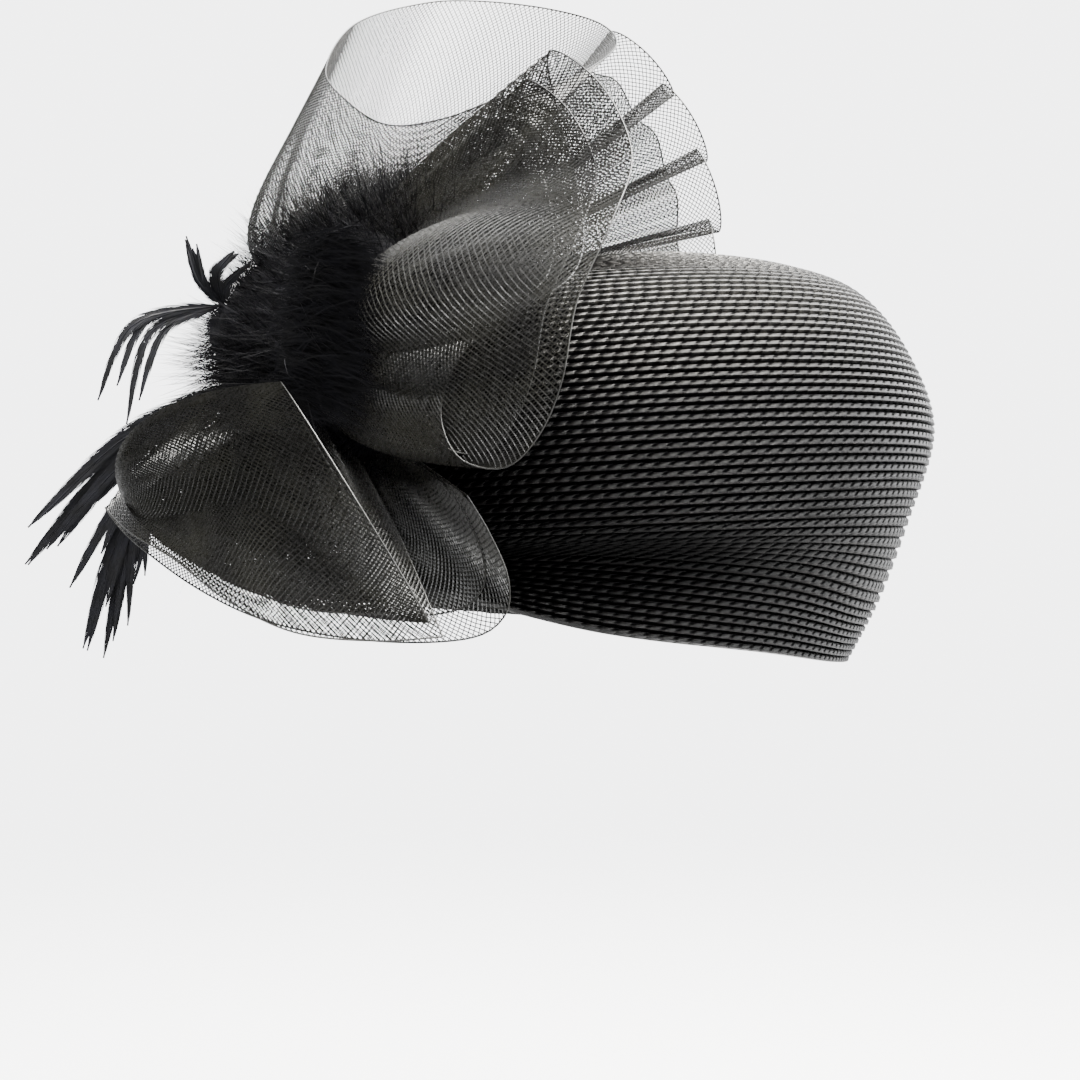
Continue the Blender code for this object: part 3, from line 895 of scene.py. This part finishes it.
def pad_grid(columns, rows, lift):
    """Points of the mound's outer face on a grid, lifted by a share of its height.

    It swells by bulge * exp(-a**2 - b**2) where its longest feathers lie, with a and b the
    distances from there in direction and ring, as shares of the swelling's own.
    """
    direction = np.linspace(pad_start, pad_end, columns)
    ring = np.linspace(pad_top_ring, pad_bottom_ring, rows)
    height = pad_height(direction[None, :], ring[:, None])
    aside = (direction - bulge_direction) / bulge_turn
    below = (ring - bulge_ring) / bulge_rings
    height = height * lift + pad_bulge * np.exp(-aside[None, :] ** 2 - below[:, None] ** 2)
    return hat_surface(direction, ring) + hat_normal(direction, ring) * height[..., None]


def pad_mound(columns, rows):
    """Closed mound: the outer face joined all round to the same grid just over the crown."""
    over = pad_grid(columns, rows, pad_lift)
    direction = np.linspace(pad_start, pad_end, columns)
    ring = np.linspace(pad_top_ring, pad_bottom_ring, rows)
    under = hat_surface(direction, ring) + hat_normal(direction, ring) * pad_gap
    count = rows * columns
    quads = grid_quads(rows, columns, False, False)
    border = np.concatenate([
        np.arange(columns),
        np.arange(1, rows) * columns + columns - 1,
        (rows - 1) * columns + np.arange(columns - 2, -1, -1),
        np.arange(rows - 2, 0, -1) * columns,
    ])
    following = np.roll(border, -1)
    wall = np.stack([border, following, following + count, border + count], axis=1)
    faces = np.concatenate([quads, quads[:, ::-1] + count, wall[:, ::-1]])
    return np.concatenate([over.reshape(-1, 3), under.reshape(-1, 3)]), faces


def pad_feathers():
    """Strands rooted in the mound that lean down and outward and curl at their tips."""
    chance = np.random.default_rng(pad_seed)
    columns, rows = 121, 81
    grid = pad_grid(columns, rows, pad_lift)
    across = np.gradient(grid, axis=1)
    along = np.gradient(grid, axis=0)
    normal = np.cross(across, along)
    normal = normal / np.linalg.norm(normal, axis=-1, keepdims=True)
    column = chance.integers(1, columns - 1, pad_strands)
    row = chance.integers(1, rows - 1, pad_strands)
    direction = pad_start + (pad_end - pad_start) * column / (columns - 1)
    ring = pad_top_ring + (pad_bottom_ring - pad_top_ring) * row / (rows - 1)
    root = grid[row, column] - normal[row, column] * 0.001
    out = normal[row, column]
    down = along[row, column]
    down = down / np.linalg.norm(down, axis=-1, keepdims=True)
    side = across[row, column]
    side = side / np.linalg.norm(side, axis=-1, keepdims=True)
    swing = chance.normal(0, 0.45, pad_strands)[:, None]
    lean = chance.uniform(0.2, 1.0, pad_strands)[:, None]
    left = np.clip(-out[:, 0] - 0.35, 0, 1) * np.exp(-((root[:, 2] + 0.036) / 0.016) ** 2)
    top = np.clip(out[:, 2] - 0.15, 0, 1) * np.clip((root[:, 2] + 0.020) / 0.02, 0, 1)
    long = np.clip(1.9 * left + 1.7 * top, 0, 1.6)
    fall = lean * chance.choice([-0.6, 1.0], pad_strands)[:, None]
    way = out * (1.1 - lean) + down * fall + side * swing
    way = way / np.linalg.norm(way, axis=1, keepdims=True)
    edge = np.clip(1 - pad_height(direction, ring) / pad_thickness, 0, 1)
    reach = chance.uniform(0.003, 0.008, pad_strands) * (1 + 0.9 * edge)
    reach = (reach * (1 + 1.2 * long))[:, None]
    share = np.linspace(0, 1, 3)[None, :, None]
    curl = out[:, None] * share ** 2 * reach[:, None] * 0.25
    lines = root[:, None] + way[:, None] * share * reach[:, None] + curl
    flat = np.cross(way, out + 0.3 * side)
    flat = flat / np.linalg.norm(flat, axis=1, keepdims=True)
    return ribbons(lines, chance.uniform(0.00012, 0.00030, pad_strands), flat)


feather = feather_material("pad_feather", (0.0018, 0.0018, 0.0021, 1.0), 0.12)
pad_pieces = [("pad_mound", pad_mound(61, 41)), ("pad_strands", pad_feathers())]


def tuft(seed, count, low, high, spread, way, droop, shortest, longest):
    """Strands rooted along the line from low to high, which set out one way and droop."""
    chance = np.random.default_rng(seed)
    low, high, spread, way, droop = np.array([low, high, spread, way, droop])
    root = low + (high - low) * chance.uniform(0, 1, count)[:, None]
    root = root + chance.normal(0, 1, (count, 3)) * spread
    way = way + chance.normal(0, 0.25, (count, 3))
    way = way / np.linalg.norm(way, axis=1, keepdims=True)
    reach = chance.uniform(shortest, longest, count)[:, None, None]
    along = np.linspace(0, 1, 4)[None, :, None]
    lines = root[:, None] + (way[:, None] * along + droop * along ** 2) * reach
    flat = np.cross(way, np.array([0.1, 1.0, 0.2]))
    flat = flat / np.linalg.norm(flat, axis=1, keepdims=True)
    return ribbons(lines, chance.uniform(0.0002, 0.0004, count), flat)


tufts = [
    # over the front loop's gather, under the pad, and over its top
    (12, 3600, (-0.085, -0.086, -0.050), (-0.082, -0.080, -0.008), (0.004, 0.003, 0.003),
     (0.75, -0.62, 0.10), (0.10, 0.25, -0.30), 0.012, 0.024),
    (13, 5000, (-0.114, -0.034, -0.058), (-0.078, -0.050, -0.058), (0.003, 0.007, 0.003),
     (0.02, -0.12, -0.95), (0.0, -0.05, 0.0), 0.026, 0.044),
    (14, 2600, (-0.084, -0.020, 0.004), (-0.052, -0.012, 0.010), (0.005, 0.006, 0.003),
     (0.35, -0.05, 0.85), (0.25, 0.0, -0.15), 0.012, 0.024),
]
pad_pieces.append(("pad_long_feathers", join_parts([tuft(*row) for row in tufts])))
for name, parts in pad_pieces:
    place_piece(name, set_mesh(name, *parts), feather, ["feather_pad"])


# Feather sprays: fine hackles bound at the pad, each a bare quill with soft barbs
# along both sides. The upper spray curls over, and the lower one hangs in two bunches.
upper_reach = 0.050
lower_reach = 0.090
spray_seed = 5
barb_lead = 0.24
hackle_fullness = 1.3
quill_radius = 0.00030
upper_locks = np.array([
    # middle right, back, up, tip right, back, up, half width in mm
    (-0.49, -0.18, -0.13, -0.71, -0.26, -0.59, 1.7),
    (-0.40, -0.14, -0.20, -0.55, -0.22, -0.68, 1.7),
    (-0.13, -0.10, 0.14, -0.20, -0.14, 0.38, 1.2),
    (-0.10, -0.10, 0.12, -0.14, -0.14, 0.34, 1.4),
    (-0.02, -0.12, 0.17, 0.13, -0.12, 0.31, 2.0),
    (0.04, -0.10, 0.12, 0.16, -0.16, 0.22, 1.6),
    (-0.05, 0.00, -0.12, -0.06, 0.02, -0.28, 2.4),
    (0.06, 0.00, -0.10, 0.20, 0.02, -0.22, 2.4),
])
lower_locks = np.array([
    # middle right, back, up, tip right, back, up, half width in mm
    (-0.36, 0.00, -0.18, -0.72, 0.00, -0.50, 3.0),
    (-0.37, 0.03, -0.23, -0.71, 0.04, -0.62, 3.2),
    (-0.35, -0.02, -0.25, -0.64, 0.00, -0.55, 2.6),
    (-0.36, 0.04, -0.42, -0.53, 0.04, -0.93, 3.0),
    (-0.34, 0.07, -0.44, -0.46, 0.08, -0.96, 3.0),
    (-0.37, 0.01, -0.36, -0.56, 0.02, -0.71, 2.4),
    (-0.33, 0.05, -0.42, -0.40, 0.05, -0.86, 2.4),
])


def hackle(spine, width, barbs, chance):
    """One hackle: a quill with barbs combed forward on both sides to a pointed blade.

    A barb that leaves the quill at share t follows it over q = t + lead * s, with s from 0
    to 1, and stands off to the side by width * s * 2.2 * q**0.45 * (1 - q)**0.9.
    """
    count = len(spine)
    way = np.gradient(spine, axis=0)
    way = way / np.linalg.norm(way, axis=1, keepdims=True)
    flat = np.cross(way, np.array([0.15, 1.0, 0.1]))
    flat = flat / np.linalg.norm(flat, axis=1, keepdims=True)
    start = chance.uniform(0.0, 1.0, barbs) ** 0.8
    s = np.linspace(0, 1, 5)[None, :]
    lead = (barb_lead * chance.uniform(0.6, 1.3, barbs))[:, None]
    q = np.clip(start[:, None] * (1 - lead) + lead * s, 0, 1)
    blade = 2.2 * q ** 0.45 * (1 - q) ** 0.9
    hand = chance.choice([-1.0, 1.0], barbs)[:, None] * chance.uniform(0.55, 1.1, barbs)[:, None]
    centre = smooth(spine, q * (count - 1))
    side = smooth(flat, q * (count - 1))
    deep = np.cross(side, smooth(way, q * (count - 1)))
    lift = chance.normal(0, 0.12, barbs)[:, None]
    lines = centre + (side * hand[..., None] + deep * lift[..., None]) * (width * s * blade)[..., None]
    wide = side[:, 2] / np.linalg.norm(side[:, 2], axis=1, keepdims=True)
    quill = tubes(spine[None], quill_radius, 4)
    return join_parts([quill, ribbons(lines, chance.uniform(0.00018, 0.00034, barbs), wide)])


def spray(node, locks, reach, hackles, barbs, spread):
    """Bunch of hackles that follow the locks of the frame's spray, spread round each one."""
    chance = np.random.default_rng(spray_seed)
    head = seat(node)
    parts = []
    for row in locks:
        for index in range(hackles):
            jitter = chance.normal(0, spread, (2, 3)) * reach
            length = 1.0 if index == 0 else chance.uniform(0.7, 1.0)
            middle = head + (row[:3] * reach + jitter[0] * 0.5) * length
            tip = head + (row[3:6] * reach + jitter[1]) * length
            spine = smooth(np.array([head, middle, tip]), np.linspace(0, 2, 14))
            parts.append(hackle(spine, hackle_fullness * row[6] / 1000, barbs, chance))
    return join_parts(parts)


spray_feather = feather_material("spray_feather", (0.0022, 0.0023, 0.003, 1.0), 0.25)
sprays = [
    # piece, node, locks, reach, hackles to a lock, barbs to a hackle, spread
    ("upper_hackles", "spray_upper", upper_locks, upper_reach, 2, 230, 0.018),
    ("lower_hackles", "spray_lower", lower_locks, lower_reach, 3, 330, 0.014),
]
for name, node, *shape in sprays:
    place_piece(name, set_mesh(name, *spray(node, *shape)), spray_feather, [node])
